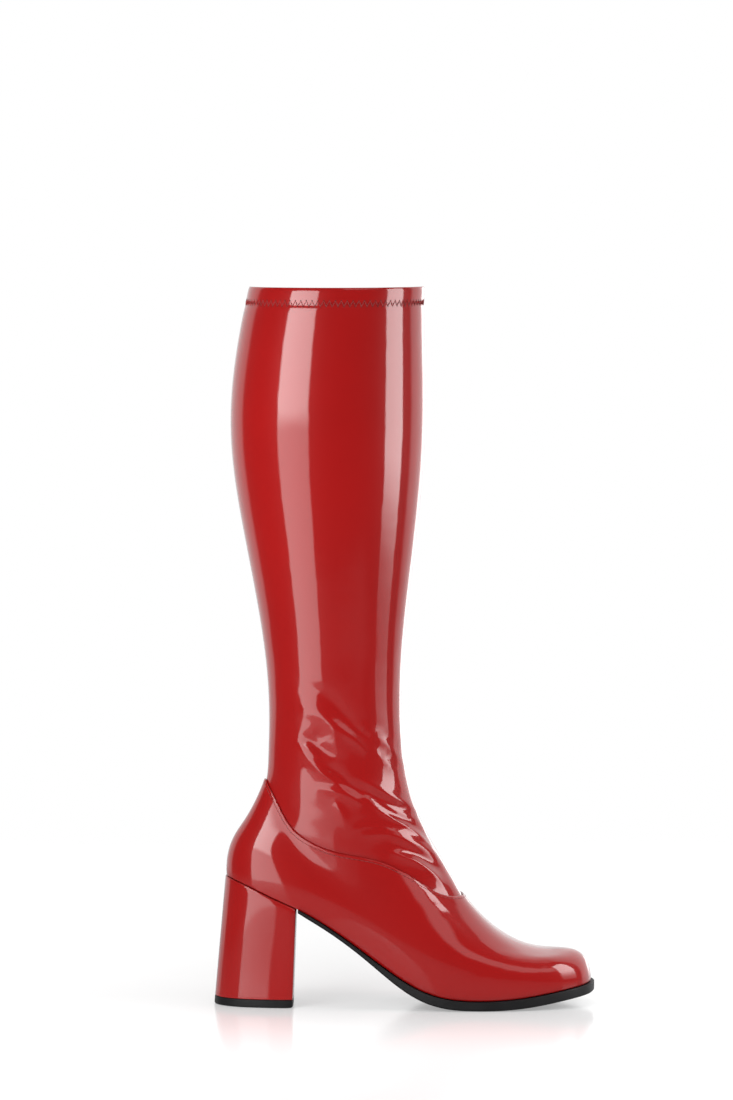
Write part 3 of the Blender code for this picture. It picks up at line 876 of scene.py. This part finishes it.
class BOOT_OT_edge_stitches(bpy.types.Operator):
    """Sews the upper's top edge to the leg with one row of lock stitches"""

    bl_idname = "boot.edge_stitches"
    bl_label = "Sew the upper's edge"

    def execute(self, context):
        sizes, colours = context.scene.boot_sizes, context.scene.boot_colours
        tree = surface_tree("upper_patent")
        ring = even_ring(upper_edge(), sizes.edge_stitch_pitch)
        ends = []
        for i in range(len(ring)):
            along = Vector(ring[(i + 1) % len(ring)] - ring[i - 1]).normalized()
            place = Vector(ring[i])
            _, normal, _, _ = tree.find_nearest(place + Vector((0, 0, -sizes.edge_stitch_drop)))
            down = along.cross(normal).normalized()
            down = -down if down.z > 0 else down
            hit, normal, _, _ = tree.find_nearest(place + down * sizes.edge_stitch_drop)
            ends.append((hit, normal))
        frames, holes = [], []
        for i in range(len(ends)):
            start, end = ends[i], ends[(i + 1) % len(ends)]
            out = (start[1] + end[1]).normalized()
            frames.append(lying(start[0], end[0], out, 0))
            holes.append(facing(*start))
        length = sizes.edge_stitch_pitch * EDGE_STITCH_LENGTH
        thread = copies(stitch("edge_thread", length, sizes.thread), "edge_thread", frames)
        thread.data.materials.append(thread_finish("edge_thread", colours.thread))
        for piece in (thread, needle_holes("edge_holes", EDGE_HOLE, holes)):
            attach(piece, "root")
        return {"FINISHED"}


# The stage


def math_node(tree, operation, *values):
    node = tree.nodes.new("ShaderNodeMath")
    node.operation = operation
    for i, value in enumerate(values):
        if isinstance(value, (int, float)):
            node.inputs[i].default_value = value
        else:
            tree.links.new(value, node.inputs[i])
    return node.outputs[0]


def soft_edge(tree, value, low, high):
    """Rises from 0 to 1 between two values."""
    node = tree.nodes.new("ShaderNodeMapRange")
    node.interpolation_type = "SMOOTHSTEP"
    node.inputs["From Min"].default_value = low
    node.inputs["From Max"].default_value = high
    tree.links.new(value, node.inputs["Value"])
    return node.outputs["Result"]


def studio_world():
    """Soft panels of light round the boot; the camera itself sees plain white."""
    world = bpy.data.worlds.new("studio")
    world.use_nodes = True
    tree = world.node_tree
    tree.nodes.clear()
    coordinates = tree.nodes.new("ShaderNodeTexCoord")
    parts = tree.nodes.new("ShaderNodeSeparateXYZ")
    tree.links.new(coordinates.outputs["Generated"], parts.inputs["Vector"])
    back = math_node(tree, "MULTIPLY", parts.outputs["Y"], -1.0)
    turn = math_node(tree, "DEGREES", math_node(tree, "ARCTAN2", parts.outputs["X"], back))
    rise = math_node(tree, "DEGREES", math_node(tree, "ARCSINE", parts.outputs["Z"]))
    light = None
    for _, left, right, bottom, top, edge, radiance in STUDIO_PANELS:
        shares = [
            soft_edge(tree, rise, bottom - edge / 2, bottom + edge / 2),
            soft_edge(tree, rise, top + edge / 2, top - edge / 2),
        ]
        if right - left < 360:
            shares.append(soft_edge(tree, turn, left - edge / 2, left + edge / 2))
            shares.append(soft_edge(tree, turn, right + edge / 2, right - edge / 2))
        panel = shares[0]
        for share in shares[1:]:
            panel = math_node(tree, "MULTIPLY", panel, share)
        panel = math_node(tree, "MULTIPLY", panel, radiance)
        light = math_node(tree, "ADD", panel, STUDIO_AMBIENT if light is None else light)
    lit = tree.nodes.new("ShaderNodeBackground")
    tree.links.new(light, lit.inputs["Strength"])
    seen = tree.nodes.new("ShaderNodeBackground")
    seen.inputs["Color"].default_value = (1, 1, 1, 1)
    path = tree.nodes.new("ShaderNodeLightPath")
    mix = tree.nodes.new("ShaderNodeMixShader")
    output = tree.nodes.new("ShaderNodeOutputWorld")
    tree.links.new(path.outputs["Is Camera Ray"], mix.inputs["Fac"])
    tree.links.new(lit.outputs["Background"], mix.inputs[1])
    tree.links.new(seen.outputs["Background"], mix.inputs[2])
    tree.links.new(mix.outputs["Shader"], output.inputs["Surface"])
    return world


def emission_only(name):
    material = bpy.data.materials.new(name)
    material.use_nodes = True
    tree = material.node_tree
    tree.nodes.clear()
    emission = tree.nodes.new("ShaderNodeEmission")
    output = tree.nodes.new("ShaderNodeOutputMaterial")
    tree.links.new(emission.outputs["Emission"], output.inputs["Surface"])
    return material, tree, emission


def softbox(name, azimuth, distance, width, bottom, top, change_low, change_high, low, high, lean):
    """One upright panel of light that faces the leg and that the camera doesn't see."""
    turn = math.radians(azimuth)
    ahead = BOXES_MIDDLE[0] + distance * math.sin(turn)
    across = BOXES_MIDDLE[1] - distance * math.cos(turn)
    place = (ahead, across, (bottom + top) / 2)
    bpy.ops.object.select_all(action="DESELECT")
    bpy.ops.mesh.primitive_plane_add(size=1, location=place, rotation=(math.pi / 2, 0, turn + math.pi))
    panel = bpy.context.active_object
    panel.name = name
    panel.scale = (width, top - bottom, 1)
    bpy.ops.object.transform_apply(location=True, rotation=True, scale=True)
    panel.visible_camera = False
    material, tree, emission = emission_only(name)
    coordinates = tree.nodes.new("ShaderNodeTexCoord")
    parts = tree.nodes.new("ShaderNodeSeparateXYZ")
    tree.links.new(coordinates.outputs["UV"], parts.inputs["Vector"])
    aside, up = parts.outputs["X"], parts.outputs["Y"]
    height = math_node(tree, "MULTIPLY_ADD", up, top - bottom, bottom)
    rise = soft_edge(tree, height, change_low, change_high)
    light = math_node(tree, "MULTIPLY_ADD", rise, high - low, low)
    light = math_node(tree, "MULTIPLY", light, math_node(tree, "MULTIPLY_ADD", aside, lean, 1 - lean / 2))
    for value, fade in ((aside, BOX_SIDE_FADE), (up, BOX_END_FADE)):
        for dark, full in ((0, fade), (1, 1 - fade)):
            light = math_node(tree, "MULTIPLY", light, soft_edge(tree, value, dark, full))
    tree.links.new(light, emission.inputs["Strength"])
    panel.data.materials.append(material)


def floor_finish():
    """A pale, slightly glossy table that lights the boot from below and fades out at its edges."""
    material, tree, shader, place = new_material("studio_floor")
    shader.inputs["Base Color"].default_value = (FLOOR_TONE, FLOOR_TONE, FLOOR_TONE, 1)
    shader.inputs["Roughness"].default_value = 0.15
    shader.inputs["IOR"].default_value = 1.5
    shader.inputs["Emission Color"].default_value = (1, 1, 1, 1)
    parts = tree.nodes.new("ShaderNodeSeparateXYZ")
    tree.links.new(place, parts.inputs["Vector"])
    glow = FLOOR_GLOW
    for start, full, growth in FLOOR_BRIGHTER:
        brighter = soft_edge(tree, parts.outputs["Y"], start, full)
        glow = math_node(tree, "MULTIPLY_ADD", brighter, growth, glow)
    tree.links.new(glow, shader.inputs["Emission Strength"])
    fade = None
    for axis, clear_at, whole_at in FLOOR_FADES:
        edge = soft_edge(tree, parts.outputs[axis], clear_at, whole_at)
        fade = edge if fade is None else math_node(tree, "MULTIPLY", fade, edge)
    mirrored = tree.nodes.new("ShaderNodeBsdfPrincipled")
    mirrored.inputs["Base Color"].default_value = (BOUNCE_TONE, BOUNCE_TONE, BOUNCE_TONE, 1)
    mirrored.inputs["Roughness"].default_value = 0.12
    mirrored.inputs["Emission Color"].default_value = (1, 1, 1, 1)
    clear = tree.nodes.new("ShaderNodeBsdfTransparent")
    path = tree.nodes.new("ShaderNodeLightPath")
    bounced = math_node(tree, "MULTIPLY_ADD", path.outputs["Is Diffuse Ray"], SOFT_BOUNCE_GLOW, BOUNCE_GLOW)
    tree.links.new(bounced, mirrored.inputs["Emission Strength"])
    seen, faded = tree.nodes.new("ShaderNodeMixShader"), tree.nodes.new("ShaderNodeMixShader")
    tree.links.new(path.outputs["Is Camera Ray"], seen.inputs["Fac"])
    tree.links.new(mirrored.outputs["BSDF"], seen.inputs[1])
    tree.links.new(shader.outputs["BSDF"], seen.inputs[2])
    tree.links.new(fade, faded.inputs["Fac"])
    tree.links.new(clear.outputs["BSDF"], faded.inputs[1])
    tree.links.new(seen.outputs["Shader"], faded.inputs[2])
    output = next(node for node in tree.nodes if node.type == "OUTPUT_MATERIAL")
    tree.links.new(faded.outputs["Shader"], output.inputs["Surface"])
    return material


class BOOT_OT_stage(bpy.types.Operator):
    """Sets the pale floor, the soft studio light and the camera"""

    bl_idname = "boot.stage"
    bl_label = "Set the stage"

    def execute(self, context):
        scene = context.scene
        bpy.ops.object.select_all(action="DESELECT")
        bpy.ops.mesh.primitive_plane_add(size=1, location=FLOOR_MIDDLE)
        floor = context.active_object
        floor.name = "studio_floor"
        floor.scale = (*FLOOR_SIZE, 1)
        bpy.ops.object.transform_apply(location=True, scale=True)
        floor.data.materials.append(floor_finish())
        for row in SOFTBOXES:
            softbox(*row)
        scene.world = studio_world()
        scene.view_settings.view_transform = "Standard"

        camera = bpy.data.cameras.new("camera")
        camera.sensor_fit = "VERTICAL"
        camera.sensor_height = 36.0
        camera.lens = CAMERA_LENS
        eye = bpy.data.objects.new("camera", camera)
        eye.location = CAMERA_PLACE
        eye.rotation_euler = (Vector(CAMERA_AIM) - eye.location).to_track_quat("-Z", "Y").to_euler()
        scene.collection.objects.link(eye)
        scene.camera = eye
        return {"FINISHED"}


class BOOT_PT_panel(bpy.types.Panel):
    """The boot's sizes, colours and pieces"""

    bl_idname = "BOOT_PT_panel"
    bl_label = "Boot"
    bl_space_type = "VIEW_3D"
    bl_region_type = "UI"
    bl_category = "Boot"

    def draw(self, context):
        layout = self.layout
        for group in (context.scene.boot_sizes, context.scene.boot_colours):
            for name in group.__annotations__:
                layout.prop(group, name)
        for operator in OPERATORS:
            layout.operator(operator.bl_idname)


OPERATORS = (
    BOOT_OT_leg,
    BOOT_OT_upper,
    BOOT_OT_heel,
    BOOT_OT_soles,
    BOOT_OT_hem_stitches,
    BOOT_OT_edge_stitches,
    BOOT_OT_stage,
)
CLASSES = (BootSizes, BootColours, *OPERATORS, BOOT_PT_panel)


def register():
    for made in CLASSES:
        bpy.utils.register_class(made)
    bpy.types.Scene.boot_sizes = bpy.props.PointerProperty(type=BootSizes)
    bpy.types.Scene.boot_colours = bpy.props.PointerProperty(type=BootColours)


def unregister():
    del bpy.types.Scene.boot_colours
    del bpy.types.Scene.boot_sizes
    for made in reversed(CLASSES):
        bpy.utils.unregister_class(made)


def main():
    register()
    bpy.ops.boot.leg()
    bpy.ops.boot.upper()
    bpy.ops.boot.heel()
    bpy.ops.boot.soles()
    bpy.ops.boot.hem_stitches()
    bpy.ops.boot.edge_stitches()
    bpy.ops.boot.stage()


if __name__ == "__main__":
    main()
